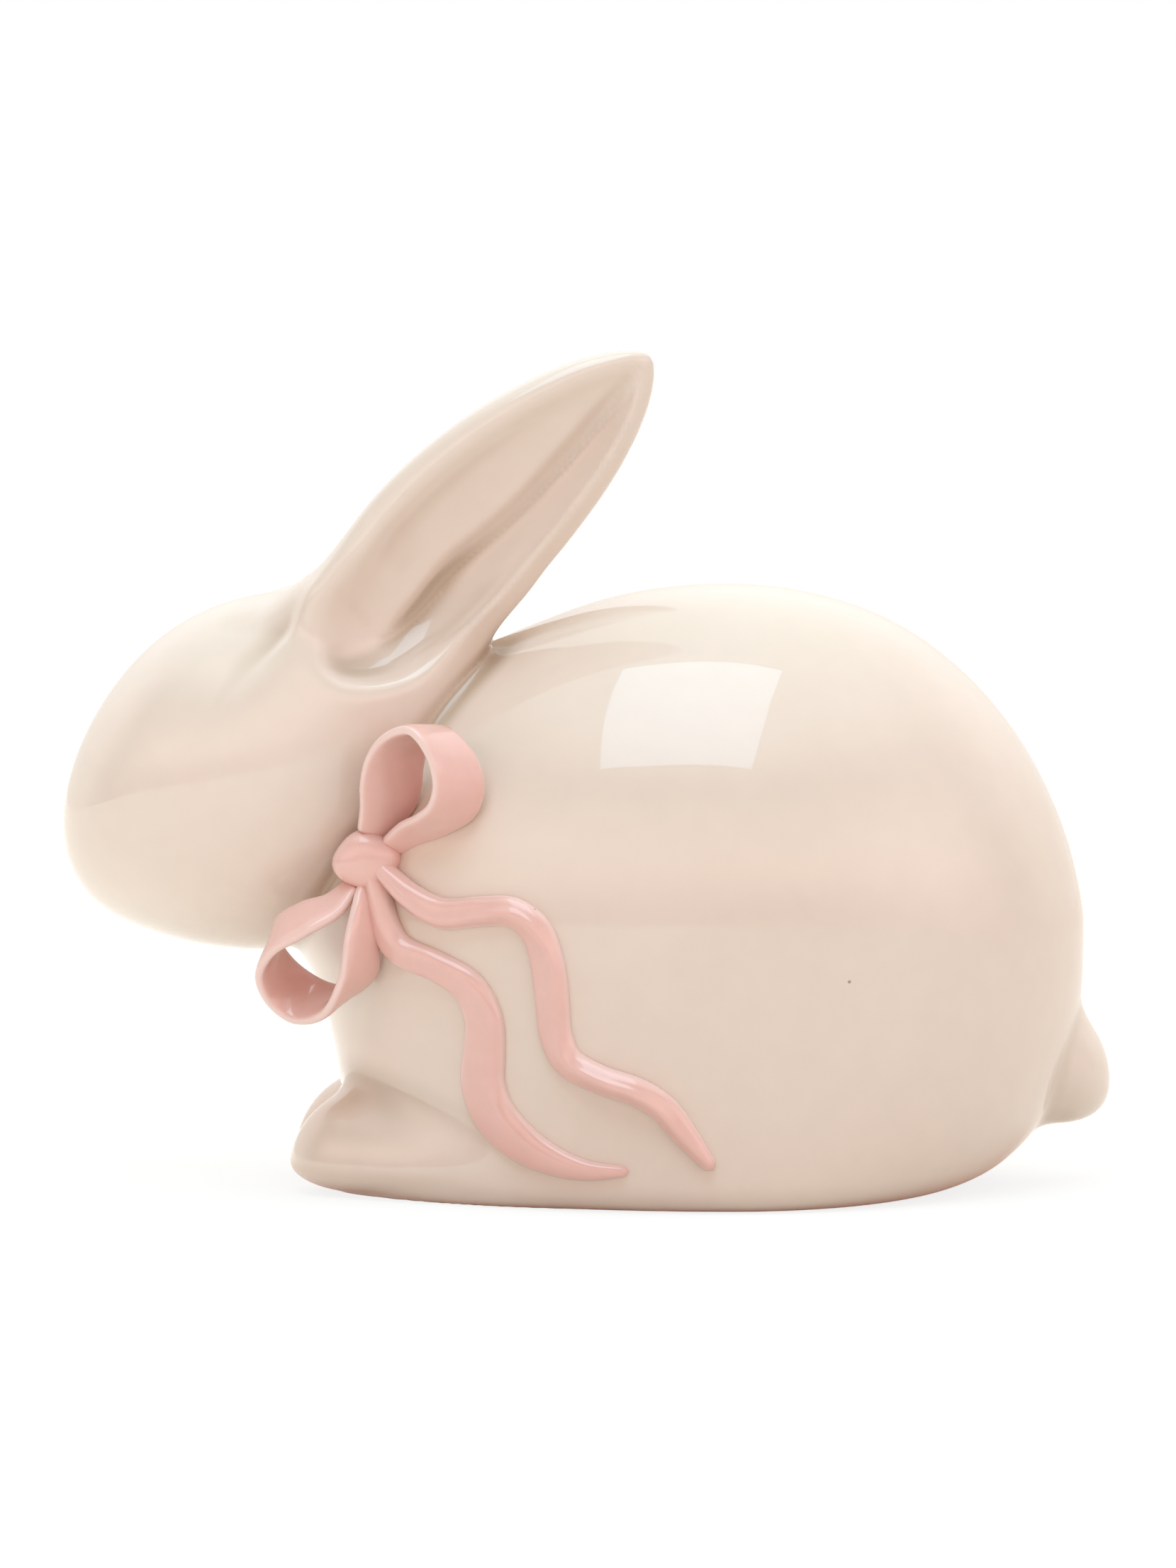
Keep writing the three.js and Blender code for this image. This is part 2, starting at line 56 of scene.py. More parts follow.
# Smooth curve through a few [place, value] points, level beyond both ends.
def through(points):
    place, value = np.array(points, float).T
    before = np.maximum(np.arange(len(place)) - 1, 0)
    after = np.minimum(np.arange(len(place)) + 1, len(place) - 1)
    slope = (value[after] - value[before]) / (place[after] - place[before])

    def curve(x):
        x = np.clip(x, place[0], place[-1])
        i = np.clip(np.searchsorted(place, x, side="right") - 1, 0, len(place) - 2)
        span = place[i + 1] - place[i]
        t = (x - place[i]) / span
        bend = t * t * (3 - 2 * t)
        tilt = span * (t * (1 - t) ** 2 * slope[i] - t * t * (1 - t) * slope[i + 1])
        return value[i] * (1 - bend) + value[i + 1] * bend + tilt

    return curve


# From 0 to 1 with a soft start and end.
def eased(t):
    t = np.clip(t, 0, 1)
    return t * t * (3 - 2 * t)


# About the distance to an egg, from the offset along each of its axes and the egg's reach there.
def eggDistance(*parts):
    near = np.sqrt(sum(offset ** 2 / reach ** 2 for offset, reach in parts)) + tiny
    steep = np.sqrt(sum(offset ** 2 / reach ** 4 for offset, reach in parts)) + tiny
    return near * (near - 1) / steep


# Union of two distances with a fillet where both are closer than this reach.
def joined(a, b, fillet):
    blend = np.maximum(fillet - np.abs(a - b), 0) / fillet
    return np.minimum(a, b) - blend * blend * fillet / 4


# The first form less the second, with the edge between them rounded.
def without(a, b, fillet):
    return -joined(-a, b, fillet)


torso = {
    "middleX": 24, "waistZ": 46, "topZ": 103.3, "halfWidth": 47,
    "rumpTuck": 51.5, "flankTuck": 190,   # how far below the waist rump and flanks would close
    "chest": [[0, 66], [17, 66.5], [28, 68.6], [36, 71.3], [44, 75],
              [60, 74], [92, 72.2], [98, 69], [103.3, 72]],
    "rump": [[46, 61.4], [56, 60.4], [72, 59.6], [90, 60.2], [103.3, 63.5]],
    "footEdge": 5,
    "footLand": 10,     # from the outline to the wiped hollow
    "footHollow": 0.8, "hollowRound": 0.8,
    "ventRadius": 5, "ventDepth": 16, "ventRound": 1.5,
}
chestReach = through(torso["chest"])
rumpReach = through(torso["rump"])


def torsoShape(x, y, z, inset=0):
    level = np.maximum(z, 0)
    drop = np.maximum(torso["waistZ"] - level, 0)
    rise = np.maximum(level - torso["waistZ"], 0)
    tuck = (1 - (drop / torso["rumpTuck"]) ** 3) ** (1 / 3)
    flank = torso["halfWidth"] * np.sqrt(1 - (drop / torso["flankTuck"]) ** 2)
    along = x - torso["middleX"]
    reach = np.where(along < 0, chestReach(level), rumpReach(level) * tuck)
    height = torso["topZ"] - torso["waistZ"]
    return eggDistance((along, reach - inset), (y, flank - inset), (rise, height))


def torsoField(x, y, z):
    body = without(torsoShape(x, y, z), z, torso["footEdge"])
    hollow = np.maximum(torsoShape(x, y, np.zeros_like(z), torso["footLand"]), z - torso["footHollow"])
    body = without(body, hollow, torso["hollowRound"])
    across = np.hypot(x - torso["middleX"], y) - torso["ventRadius"]
    return without(body, np.maximum(across, z - torso["ventDepth"]), torso["ventRound"])


head = {
    "middleX": -52, "halfWidth": 28, "halfHeight": 30.8, "muzzle": 38.2, "nape": 34,
    "middleZ": [[-38.2, 62], [-31, 65.3], [-23, 68.1], [-13, 70], [0, 71.6], [17, 76], [34, 82]],
    "neckFillet": 2.5,
}
headMiddleZ = through(head["middleZ"])


def headField(x, y, z):
    behind = x - head["middleX"]
    reach = np.where(behind < 0, head["muzzle"], head["nape"])
    return eggDistance((behind, reach), (y, head["halfWidth"]), (z - headMiddleZ(behind), head["halfHeight"]))


# Along counts from the root to the tip, and across from the middle line towards the back of the ear
ear = {
    "rootX": -33, "rootZ": 98.6, "lean": 46,
    "heel": 15, "tip": 61.8, "widest": 14, "halfWidth": 14.9, "halfThickness": 6,
    "tipBluntness": 0.145, "heelBluntness": 0.2, "endLimit": 0.98,
    "side": [[-20, 17.4], [-8, 17.6], [5, 17.3], [25, 17], [45, 18], [61.8, 19.5]],
    "bow": [[-20, 1], [0, 0], [14, -1.2], [30, -1], [44, -0.2], [61.8, 0.9]],
    "roll": 0.27, "dishDepth": 8.6, "dishHeel": 12.5, "rim": 3.1, "tipRim": 2, "dishScoop": 0.2,
    "dishShift": [[-12, -1.5], [0, -0.6], [14, 0.2]],
    "foldLine": [[3, 0.2], [13, 0.4], [25, 1.6], [35, 1.2], [50, -0.6], [56, -1]],
    "foldHeight": [[-4, 0], [6, 1.8], [44, 1.8], [60, 0]], "foldWidth": 4, "foldCurl": 1.5,
    "grooveDepth": [[-6, 0], [3, 1.3], [20, 1.4], [46, 1.3], [58, 0.4]],
    "grooveShift": 1.8, "grooveWidth": 2.6, "grooveFront": 0.5, "grooveBack": 1.7,
    "frontRound": 1.8, "backRound": 1.4, "roundBlend": 12,    # how round the rim is, across the ear
    "heelRound": 5, "heelFrom": 8, "heelBlend": 14,           # and at its heel
    "rootFillet": 14, "browFillet": 22, "browBelow": 4, "browBlend": 10,
}
earSide = through(ear["side"])
earBow = through(ear["bow"])
dishShift = through(ear["dishShift"])
foldLine = through(ear["foldLine"])
foldHeight = through(ear["foldHeight"])
grooveDepth = through(ear["grooveDepth"])


def earLeaf(along, across, out, heel, tip, halfWidth, depth, scoop=0):
    beyond = along - ear["widest"]
    reach = np.where(beyond > 0, tip - ear["widest"], heel + ear["widest"])
    share = np.clip(beyond / reach, 0, ear["endLimit"])
    left = 1 - share ** 2
    pointed = left ** np.where(beyond > 0, ear["tipBluntness"], ear["heelBluntness"])
    return eggDistance((beyond, reach), (across, halfWidth * pointed), (out, depth / left ** scoop))


# The front half of the dish stands higher and ends in a fold, with a groove beside it.
def earFold(along, across):
    beyond = across - foldLine(along)
    past = np.clip(beyond / ear["foldWidth"], 0, 1)
    step = ((1 - past) ** 2 * (1 + 2 * past)) ** ear["foldCurl"]
    away = beyond - ear["grooveShift"]
    reach = np.where(away < 0, ear["grooveFront"], ear["grooveBack"]) * ear["grooveWidth"]
    groove = np.exp(-(away / reach) ** 2)
    return foldHeight(along) * step - grooveDepth(along) * groove


# The leaf and the dish in it, apart: side is -1 for the left ear, which faces -Y, and 1 for the right.
def earFields(x, y, z, side):
    lean = math.radians(ear["lean"])
    dx, dz = x - ear["rootX"], z - ear["rootZ"]
    along = dx * math.cos(lean) + dz * math.sin(lean)
    across = dx * math.sin(lean) - dz * math.cos(lean) - earBow(along)
    out = side * y - earSide(along) + ear["roll"] * across
    leaf = earLeaf(along, across, out, ear["heel"], ear["tip"], ear["halfWidth"], ear["halfThickness"])
    deep = out - ear["halfThickness"] - earFold(along, across)
    dish = earLeaf(along, across - dishShift(along), deep,
                   ear["dishHeel"], ear["tip"] - ear["tipRim"],
                   ear["halfWidth"] - ear["rim"], ear["dishDepth"], ear["dishScoop"])
    back = np.clip((across + ear["roundBlend"] / 2) / ear["roundBlend"], 0, 1)
    low = eased((ear["heelFrom"] - along) / ear["heelBlend"])
    rimRound = ear["frontRound"] + (ear["backRound"] - ear["frontRound"]) * back
    return leaf, dish, rimRound + (ear["heelRound"] - rimRound) * low


tail = {"height": 20.8, "sink": 2.7, "long": 9.9, "halfWidth": 11, "tall": 10.6, "droop": 3, "fillet": 3.5}


def tailField(x, y, z):
    drop = torso["waistZ"] - tail["height"]
    rump = float(rumpReach(tail["height"])) * (1 - (drop / torso["rumpTuck"]) ** 3) ** (1 / 3)
    along = x - (torso["middleX"] + rump - tail["sink"])
    up = z - tail["height"] + tail["droop"] * np.clip(along / tail["long"], 0, 1) ** 2
    return eggDistance((along, tail["long"]), (y, tail["halfWidth"]), (up, tail["tall"]))


paw = {
    "behindChest": 4.5, "side": 14, "toe": 13.4, "heel": 36, "halfWidth": 12.2,
    "rise": 12.6, "middleZ": 5.2, "splay": 30, "toeBluntness": 0.15, "toeLimit": 0.99,
    "fillet": 5, "toeFillet": 3,
}


def pawField(x, y, z, side):
    turn = math.radians(paw["splay"])
    dx = x - (torso["middleX"] - float(chestReach(paw["middleZ"])) + paw["behindChest"])
    dy = side * y - paw["side"]
    along = dx * math.cos(turn) + dy * math.sin(turn)
    across = dx * math.sin(turn) - dy * math.cos(turn)
    up = z - paw["middleZ"]
    share = np.clip(-along / paw["toe"], 0, paw["toeLimit"])
    rise = np.where(up > 0, paw["rise"] * (1 - share ** 2) ** paw["toeBluntness"], paw["middleZ"])
    reach = np.where(along < 0, paw["toe"], paw["heel"])
    return eggDistance((along, reach), (across, paw["halfWidth"]), (up, rise))


# Distances to the luted pieces, in the order of skinPieces, with the ears still undished.
def pieceFields(x, y, z):
    return [
        torsoField(x, y, z), headField(x, y, z), earFields(x, y, z, -1)[0], earFields(x, y, z, 1)[0],
        pawField(x, y, z, -1), pawField(x, y, z, 1), tailField(x, y, z),
    ]


# The whole glazed surface, below zero inside it and cut level at the table.
def skin(points):
    x, y, z = points[..., 0], points[..., 1], points[..., 2]
    leaf, dish, rimRound = earFields(x, -np.abs(y), z, -1)
    rise = eased((z - ear["rootZ"] + ear["browBelow"]) / ear["browBlend"])
    fillet = ear["rootFillet"] + (ear["browFillet"] - ear["rootFillet"]) * rise
    skull = joined(headField(x, y, z), leaf, fillet)
    skull = without(skull, dish, rimRound)
    whole = joined(torsoField(x, y, z), skull, head["neckFillet"])
    paws = joined(pawField(x, y, z, -1), pawField(x, y, z, 1), paw["toeFillet"])
    whole = joined(whole, paws, paw["fillet"])
    whole = joined(whole, tailField(x, y, z), tail["fillet"])
    return np.maximum(whole, -z)


def slopeOf(field, points, step=0.03):
    shifts = np.eye(3) * step
    return np.stack([(field(points + s) - field(points - s)) / (2 * step) for s in shifts], -1)


def unit(vectors):
    return vectors / np.maximum(np.linalg.norm(vectors, axis=-1, keepdims=True), tiny)


# Points moved onto the surface where the field is zero.
def settled(field, points, times=1, longest=2, leastSlope=0.05):
    for _ in range(times):
        slope = slopeOf(field, points)
        steep = np.maximum((slope ** 2).sum(-1, keepdims=True), leastSlope)
        move = field(points)[..., None] * slope / steep
        points = points - np.clip(move, -longest, longest)
    return points


# Quads round every edge of the grid that crosses the surface, with a point in each crossed cell.
def netted(inside, low, step):
    cells = tuple(n - 1 for n in inside.shape)
    count = np.zeros(cells, np.int8)
    for i in (0, 1):
        for j in (0, 1):
            for k in (0, 1):
                count += inside[i:cells[0] + i, j:cells[1] + j, k:cells[2] + k]
    crossed = (count > 0) & (count < 8)
    number = np.full(cells, -1, np.int64)
    number[crossed] = np.arange(crossed.sum())
    points = low + (np.argwhere(crossed) + 0.5) * step
    quads = []
    for axis in range(3):
        order = [axis, (axis + 1) % 3, (axis + 2) % 3]
        turned = np.moveaxis(inside, order, [0, 1, 2])
        numbers = np.moveaxis(number, order, [0, 1, 2])
        edges = turned[:-1, 1:-1, 1:-1] != turned[1:, 1:-1, 1:-1]
        a, b, c = np.nonzero(edges)
        around = [numbers[a, b, c], numbers[a, b + 1, c], numbers[a, b + 1, c + 1], numbers[a, b, c + 1]]
        quad = np.stack(around, -1)
        outward = turned[a, b + 1, c + 1]
        quads.append(np.where(outward[:, None], quad, quad[:, ::-1]))
    return points, np.concatenate(quads)


# The box round the left half, the grid's step, and how often and how far the points even out
net = {"low": (-96.0, -51.5, -3.0), "high": (96.0, 0.0, 148.0), "step": 0.9, "rounds": 6, "pull": 0.6}


def skinMesh():
    step = net["step"]
    low = np.array(net["low"])
    counts = np.round((np.array(net["high"]) - low) / step).astype(int)
    axes = [low[i] + step * np.arange(counts[i]) for i in range(3)]
    axes[1] = -step * (np.arange(counts[1])[::-1] + 0.5)      # even to both sides of the middle plane
    grid = np.stack(np.meshgrid(*axes, indexing="ij"), -1)
    half = skin(grid) < 0
    inside = np.concatenate([half, half[:, ::-1]], 1)
    points, quads = netted(inside, np.array([axis[0] for axis in axes]), step)
    points = settled(skin, points, 3)
    sides = np.concatenate([quads[:, [i, (i + 1) % 4]] for i in range(4)])
    share = np.bincount(sides[:, 0], minlength=len(points))
    for _ in range(net["rounds"]):
        total = [np.bincount(sides[:, 0], points[sides[:, 1], i], len(points)) for i in range(3)]
        normal = unit(slopeOf(skin, points))
        move = np.stack(total, -1) / share[:, None] - points
        move -= (move * normal).sum(-1, keepdims=True) * normal
        points = settled(skin, points + net["pull"] * move)
    points = settled(skin, points, 2)
    return points, quads, unit(slopeOf(skin, points))


skinPieces = ["torso", "head", "left_ear", "right_ear", "left_forepaw", "right_forepaw", "tail"]
standsFor = {"torso": "torso_casting", "head": "head_casting"}


# A point moved well inside the body, so that a fan drawn to it stays under the surface.
def sunk(point, times=8, step=1.5):
    for _ in range(times):
        point = point - step * unit(slopeOf(skin, point))
    return point


# A piece's own quads, closed inside by a fan over every open edge.
def closedPatch(points, normals, quads):
    used, local = np.unique(quads, return_inverse=True)
    faces = [list(q) for q in local.reshape(quads.shape)]
    spots = list(points[used])
    facing = list(normals[used])
    sides = Counter((face[i], face[(i + 1) % 4]) for face in faces for i in range(4))
    after = {}
    for a, b in sides:
        for _ in range(sides[(a, b)] - sides.get((b, a), 0)):
            after.setdefault(b, []).append(a)
    while after:
        start = next(iter(after))
        loop = [start]
        while True:
            nexts = after[loop[-1]]
            step = nexts.pop()
            if not nexts:
                del after[loop[-1]]
            if step == start:
                break
            loop.append(step)
        middle = len(spots)
        spots.append(sunk(np.mean([spots[i] for i in loop], 0)))
        facing.append(unit(np.mean([facing[i] for i in loop], 0)))
        faces += [[loop[i], loop[(i + 1) % len(loop)], middle] for i in range(len(loop))]
    return np.array(spots), np.array(facing), faces


# How hollow the surface is, from 0 where it is level or bulges to 1 in a crease: how much painted shade goes
# there.
def creaseShadeShare(points, reach=3.6, full=0.25):
    shifts = np.concatenate([np.eye(3), -np.eye(3)]) * reach
    bulge = np.sum([skin(points + shift) for shift in shifts], 0) / reach ** 2
    return np.clip(-bulge / full, 0, 1)


def meshObject(name, points, faces, normals=None):
    mesh = bpy.data.meshes.new(name)
    mesh.from_pydata((np.asarray(points) * mm).tolist(), [], faces)
    mesh.polygons.foreach_set("use_smooth", [True] * len(mesh.polygons))
    mesh.update()
    if normals is not None:
        mesh.normals_split_custom_set_from_vertices([tuple(n) for n in normals])
    piece = bpy.data.objects.new(name, mesh)
    bpy.context.scene.collection.objects.link(piece)
    return piece


def dress(piece, node, slot, *materials):
    for material in materials:
        piece.data.materials.append(material)
    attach(piece, "root")
    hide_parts(node)


# Adds a node: settings are attributes or input values, links give an input its source socket.
def addNode(tree, kind, settings=(), links=()):
    node = tree.nodes.new(kind)
    for key, value in dict(settings).items():
        if isinstance(key, str) and hasattr(node, key):
            setattr(node, key, value)
        else:
            node.inputs[key].default_value = value
    for key, source in dict(links).items():
        tree.links.new(source, node.inputs[key])
    return node


def newMaterial(name):
    material = bpy.data.materials.new(name)
    material.use_nodes = True
    material.node_tree.nodes.clear()
    return material, material.node_tree


glaze = {"ior": 1.5, "noiseRange": (0.3, 0.7), "speckEdge": (0.35, 0.65), "pitDepth": 0.12}


# Glazed clay: stained body colour, slow cloudiness of the firing, fine mottle, thin edges, painted shade in
# hollows, pinholes and a wavy coat.
# Sizes and depths in a look are millimetres.
def glazedClay(name, look):
    material, tree = newMaterial(name)
    place = addNode(tree, "ShaderNodeTexCoord").outputs["Object"]
    cloud = addNode(tree, "ShaderNodeTexNoise",
                    {"Scale": 1 / (look["cloudSize"] * mm), "Detail": 2.0}, {"Vector": place})
    mottle = addNode(tree, "ShaderNodeTexNoise",
                     {"Scale": 1 / (look["mottleSize"] * mm), "Detail": 3.0}, {"Vector": place})
    base = addNode(tree, "ShaderNodeMix",
                   {"data_type": "RGBA", 6: linear(look["deep"]), 7: linear(look["pale"])},
                   {0: cloud.outputs["Fac"]}).outputs[2]
    least, most = glaze["noiseRange"]
    grain = addNode(tree, "ShaderNodeMapRange",
                    {"From Min": least, "From Max": most,
                     "To Min": 1 - look["mottle"], "To Max": 1 + look["mottle"]},
                    {"Value": mottle.outputs["Fac"]}).outputs[0]
    base = addNode(tree, "ShaderNodeVectorMath", {"operation": "SCALE"}, {0: base, 3: grain}).outputs[0]
    # Paler where the glaze runs thin over edges, and painted shade in creases and hollows
    for attribute, key in (("glazeThin", "edge"), ("paintedCreaseShade", "creaseShadeColor")):
        if key in look:
            share = addNode(tree, "ShaderNodeAttribute", {"attribute_name": attribute}).outputs["Fac"]
            base = addNode(tree, "ShaderNodeMix", {"data_type": "RGBA", 7: linear(look[key])},
                           {0: share, 6: base}).outputs[2]
    cell = addNode(tree, "ShaderNodeTexVoronoi", {"Scale": 1 / (look["speckSpacing"] * mm)},
                   {"Vector": place})
    inner, outer = [look["speckSize"] / look["speckSpacing"] * edge for edge in glaze["speckEdge"]]
    near = addNode(tree, "ShaderNodeMapRange",
                   {"From Min": inner, "From Max": outer, "To Min": 1.0, "To Max": 0.0},
                   {"Value": cell.outputs["Distance"]}).outputs[0]
    chosen = addNode(tree, "ShaderNodeMath", {"operation": "GREATER_THAN", 1: 1 - look["speckShare"]},
                     {0: cell.outputs["Color"]}).outputs[0]
    speck = addNode(tree, "ShaderNodeMath", {"operation": "MULTIPLY"}, {0: near, 1: chosen}).outputs[0]
    base = addNode(tree, "ShaderNodeMix", {"data_type": "RGBA", 7: linear(look["speck"])},
                   {0: speck, 6: base}).outputs[2]
    wave = addNode(tree, "ShaderNodeTexNoise", {"Scale": 1 / (look["waveSize"] * mm), "Detail": 1.0},
                   {"Vector": place})
    peel = addNode(tree, "ShaderNodeTexNoise", {"Scale": 1 / (look["peelSize"] * mm), "Detail": 1.0},
                   {"Vector": place})
    slow = addNode(tree, "ShaderNodeBump", {"Strength": 1.0, "Distance": look["waveDepth"] * mm},
                   {"Height": wave.outputs["Fac"]}).outputs[0]
    fine = addNode(tree, "ShaderNodeBump", {"Strength": 1.0, "Distance": look["peelDepth"] * mm},
                   {"Height": peel.outputs["Fac"], "Normal": slow}).outputs[0]
    pit = addNode(tree, "ShaderNodeBump",
                  {"Strength": 1.0, "Distance": glaze["pitDepth"] * mm, "invert": True},
                  {"Height": speck, "Normal": fine}).outputs[0]
    shader = addNode(tree, "ShaderNodeBsdfPrincipled",
                     {"Roughness": look["roughness"], "IOR": glaze["ior"],
                      "Specular IOR Level": look["bodyGloss"], "Coat Weight": 1.0,
                      "Coat Roughness": look["coatRoughness"], "Coat IOR": glaze["ior"]},
                     {"Base Color": base, "Normal": pit, "Coat Normal": pit})
    addNode(tree, "ShaderNodeOutputMaterial", {}, {"Surface": shader.outputs[0]})
    return material


# Cream earthenware, slip cast and clear glazed: warm off-white, with painted shade darkening it in creases
# and hollows
creamGlaze = glazedClay("cream_glazed_earthenware", {
    # bda58f is the painted shade laid into creases and hollows
    "deep": "dec8b8", "pale": "e3d2c5", "creaseShadeColor": "bda58f", "cloudSize": 60, "mottleSize": 5, "mottle": 0.012,
    "speckSpacing": 11, "speckSize": 0.5, "speckShare": 0.3, "speck": "a98e78",
    "waveSize": 26, "waveDepth": 0.12, "peelSize": 3.2, "peelDepth": 0.004,
    "roughness": 0.45, "bodyGloss": 0.25, "coatRoughness": 0.035,
})

# The same clay stained pink and rolled by hand: paler where the glaze runs thin over the edges
pinkGlaze = glazedClay("pink_glazed_clay", {
    "deep": "e2afa3", "pale": "e8bcb2", "edge": "f0d8d0", "cloudSize": 22, "mottleSize": 3, "mottle": 0.02,
    "speckSpacing": 6, "speckSize": 0.4, "speckShare": 0.3, "speck": "8d5c50",
    "waveSize": 9, "waveDepth": 0.06, "peelSize": 2.4, "peelDepth": 0.004,
    "roughness": 0.45, "bodyGloss": 0.25, "coatRoughness": 0.05,
})


bisque = {
    "deep": "dccbb8", "pale": "ebdccb", "roughness": 0.85,
    "grainSize": 0.6, "grainDepth": 0.05, "grainBump": 0.6,
    "level": 0.15, "facing": -0.7,    # faces lower than this that look this far down are wiped
}


# Bisque: the glaze is wiped off where the ornament stands, so the clay shows dry and matt
def bisqueFoot():
    material, tree = newMaterial("bisque_wiped_foot")
    place = addNode(tree, "ShaderNodeTexCoord").outputs["Object"]
    grain = addNode(tree, "ShaderNodeTexNoise", {"Scale": 1 / (bisque["grainSize"] * mm), "Detail": 4.0},
                    {"Vector": place})
    base = addNode(tree, "ShaderNodeMix",
                   {"data_type": "RGBA", 6: linear(bisque["deep"]), 7: linear(bisque["pale"])},
                   {0: grain.outputs["Fac"]}).outputs[2]
    rough = addNode(tree, "ShaderNodeBump",
                    {"Strength": bisque["grainBump"], "Distance": bisque["grainDepth"] * mm},
                    {"Height": grain.outputs["Fac"]}).outputs[0]
    shader = addNode(tree, "ShaderNodeBsdfPrincipled", {"Roughness": bisque["roughness"]},
                     {"Base Color": base, "Normal": rough})
    addNode(tree, "ShaderNodeOutputMaterial", {}, {"Surface": shader.outputs[0]})
    return material


def makeSkin():
    points, quads, normals = skinMesh()
    middles = points[quads].mean(1)
    owner = np.stack(pieceFields(*middles.T)).argmin(0)
    dryClay = bisqueFoot()
    for i, name in enumerate(skinPieces):
        spots, facing, faces = closedPatch(points, normals, quads[owner == i])
        piece = meshObject(name + "_glazed", spots, faces, facing)
        # Painted shade: creases and hollows darkened by how hollow the surface is there
        creaseShading = piece.data.attributes.new("paintedCreaseShade", "FLOAT", "POINT")
        creaseShading.data.foreach_set("value", creaseShadeShare(spots))
        dress(piece, standsFor.get(name, name), "cream_glazed_ceramic", creamGlaze, dryClay)
        for face in piece.data.polygons:
            if face.center.z < bisque["level"] * mm and face.normal.z < bisque["facing"]:
                face.material_index = 1
    print("glazed skin:", len(points), "points,", len(quads), "quads")


# The left face of the skin beside places in the middle plane, found between two depths by halving.
def skinFace(x, z, outer=-55.0, inner=-2.0, halvings=24):
    low = np.full_like(x, outer)
    high = np.full_like(x, inner)
    for _ in range(halvings):
        half = (low + high) / 2
        inside = skin(np.stack([x, half, z], -1)) < 0
        low, high = np.where(inside, low, half), np.where(inside, half, high)
    return np.stack([x, (low + high) / 2, z], -1)


# Rows of points around a strip turned into a closed mesh, with how close each lies to an edge.
def stripObject(name, rings, thin):
    count, around = rings.shape[:2]
    points = list(rings.reshape(-1, 3)) + [rings[0].mean(0), rings[-1].mean(0)]
    faces = []
    for i in range(count - 1):
        for j in range(around):
            k = (j + 1) % around
            faces.append([i * around + j, i * around + k, (i + 1) * around + k, (i + 1) * around + j])
    first, last = count * around, count * around + 1
    for j in range(around):
        k = (j + 1) % around
        faces.append([first, k, j])
        faces.append([last, (count - 1) * around + j, (count - 1) * around + k])
    piece = meshObject(name, points, faces)
    values = list(thin.reshape(-1)) + [0.0, 0.0]
    piece.data.attributes.new("glazeThin", "FLOAT", "POINT").data.foreach_set("value", values)
    made = bmesh.new()
    made.from_mesh(piece.data)
    if made.calc_volume(signed=True) < 0:
        bmesh.ops.reverse_faces(made, faces=made.faces)
        made.to_mesh(piece.data)
    made.free()
    return piece


# Columns of listed stations as smooth functions of the length run so far, read at count places.
def runAlong(stations, places, count):
    stations = np.array(stations, float)
    length = np.concatenate([[0], np.cumsum(np.linalg.norm(np.diff(places, axis=0), axis=1))])
    at = np.linspace(0, length[-1], count)
    return np.stack([through(np.stack([length, column], -1))(at) for column in stations.T], -1), at


lowKnot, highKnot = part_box("bow_knot")
knot = {"half": (5.2, 4.4, 5.0), "square": 2.7, "turn": 32, "pinch": 0.10, "cuts": 15}
knotMiddle = np.array([
    (lowKnot.x + highKnot.x) / 2 / mm, lowKnot.y / mm + knot["half"][1], (lowKnot.z + highKnot.z) / 2 / mm,
])


def makeKnot():
    made = bmesh.new()
    bmesh.ops.create_cube(made, size=2)
    bmesh.ops.subdivide_edges(made, edges=made.edges, cuts=knot["cuts"], use_grid_fill=True)
    directions = unit(np.array([v.co for v in made.verts]))
    size = (np.abs(directions) ** knot["square"]).sum(-1, keepdims=True) ** (-1 / knot["square"])
    turn = math.radians(knot["turn"])
    body = directions * size
    pinch = 1 + knot["pinch"] * body[:, :1] * body[:, 2:]     # one corner pulled out, the next drawn in
    body = body * np.concatenate([pinch, np.ones_like(pinch), pinch], 1) * knot["half"]
    x = body[:, 0] * math.cos(turn) + body[:, 2] * math.sin(turn)
    z = body[:, 2] * math.cos(turn) - body[:, 0] * math.sin(turn)
    points = np.stack([x, body[:, 1], z], -1) + knotMiddle
    faces = [[v.index for v in f.verts] for f in made.faces]
    made.free()
    piece = meshObject("bow_knot_glazed", points, faces)
    piece.data.attributes.new("glazeThin", "FLOAT", "POINT")
    dress(piece, "bow_knot", "pink_glazed_ceramic", pinkGlaze)
    print("bow knot")


# A rounded flat section: where each point lies across and through, from -1 to 1.
def roundedSection(around, square):
    angle = 2 * np.pi * np.arange(around) / around
    across = np.sign(np.cos(angle)) * np.abs(np.cos(angle)) ** (2 / square)
    deep = np.sign(np.sin(angle)) * np.abs(np.sin(angle)) ** (2 / square)
    return across, deep


# How near a place across a strip is to its edge, from 0 to 1 in the outer share of it.
def edgeShare(side, edge):
    return np.clip((np.abs(side) - (1 - edge)) / edge, 0, 1)


loop = {"thickness": 2.1, "count": 110, "around": 28, "square": 3.6, "edge": 0.14, "thin": 0.55}
outwards = np.array([1, -1, 1])     # out from the left flank is along -Y

# Stations: behind, out and above from the knot, the way across, and the width
upperLoop = [
    [0.9, 1, 4.6, 0.9, 0.42, 0, 5.6],
    [3.7, 2.4, 10.5, 0.92, 0.38, 0, 10.6],
    [4.7, 4, 16.4, 0.9, 0.44, 0, 11],
    [6.9, 6, 21, 0.75, 0.66, 0, 10.7],
    [10.4, 8.4, 22.3, 0.66, 0.75, -0.05, 10.5],
    [14, 10.6, 18.6, 0.72, 0.68, -0.08, 10.5],
    [15.6, 11.4, 13.6, 0.77, 0.63, -0.1, 10.5],
    [14.6, 10.4, 9.4, 0.75, 0.62, -0.2, 10],
    [11.2, 7.4, 6.6, 0.65, 0.62, -0.35, 8],
    [7.4, 4, 4.8, 0.55, 0.6, -0.5, 6],
    [4.4, 1.6, 2.6, 0.5, 0.6, -0.6, 4.5],
]
